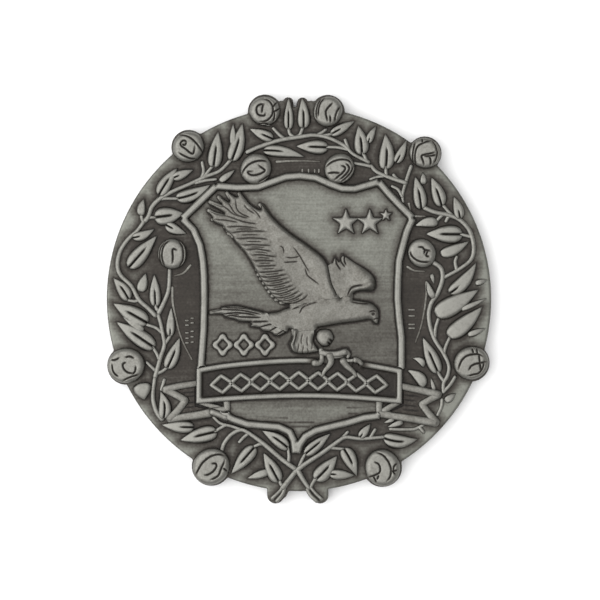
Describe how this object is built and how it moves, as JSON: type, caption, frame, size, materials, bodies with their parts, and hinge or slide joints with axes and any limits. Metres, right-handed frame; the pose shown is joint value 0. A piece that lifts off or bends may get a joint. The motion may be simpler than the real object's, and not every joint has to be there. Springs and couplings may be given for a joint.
{
  "type": "challenge coin",
  "caption": "Round cast coin in aged silver: an eagle over a ribboned shield in a wreath of roses, with buds and crossed stems standing past the rim.",
  "frame": {"origin": "centre of the coin's back face", "axes": "+Z out of the decorated face, +Y towards the top of the design, +X to the viewer's right"},
  "size_m": [0.05, 0.0532, 0.004],
  "materials": {
    "ground": "aged silver plate, dark in the recesses, satin",
    "relief": "aged silver plate, polished high points, satin"
  },
  "bodies": {
    "root": {"coin_blank": "ground", "shield_field": "ground", "shield_border_upper": "relief", "shield_border_lower": "relief", "banner_panel": "relief", "banner_fold_left": "relief", "banner_fold_right": "relief", "banner_tail_left": "relief", "banner_tail_right": "relief", "banner_chain": "relief", "eagle_near_wing": "relief", "eagle_far_wing": "relief", "eagle_body": "relief", "eagle_tail": "relief", "eagle_near_leg": "relief", "eagle_far_thigh": "relief", "eagle_foot": "relief", "star_1": "relief", "star_2": "relief", "star_3": "relief", "rosette_1": "relief", "rosette_2": "relief", "rosette_3": "relief", "rose_01": "relief", "rose_02": "relief", "rose_03": "relief", "rose_04": "relief", "rose_05": "relief", "rose_06": "relief", "rose_07": "relief", "rose_08": "relief", "rose_09": "relief", "rose_10": "relief", "rose_11": "relief", "rose_12": "relief", "sprig_foot_right": "relief", "sprig_foot_left": "relief", "stem_end": "relief", "sprig_left_foot": "relief", "sprig_left_side": "relief", "sprig_left_rose": "relief", "sprig_left_outer": "relief", "sprig_left_shoulder": "relief", "sprig_crown": "relief", "sprig_right_crown": "relief", "sprig_right_outer": "relief", "sprig_right_side": "relief", "leaf_left_broad": "relief", "leaf_left_small": "relief", "leaf_left_fold": "relief", "leaf_crown_long": "relief", "leaf_crown_small": "relief", "leaf_right_curved": "relief", "leaf_right_broad": "relief", "leaf_right_lower": "relief", "leaf_right_foot": "relief", "leaf_foot_small": "relief"}
  },
  "joints": []
}
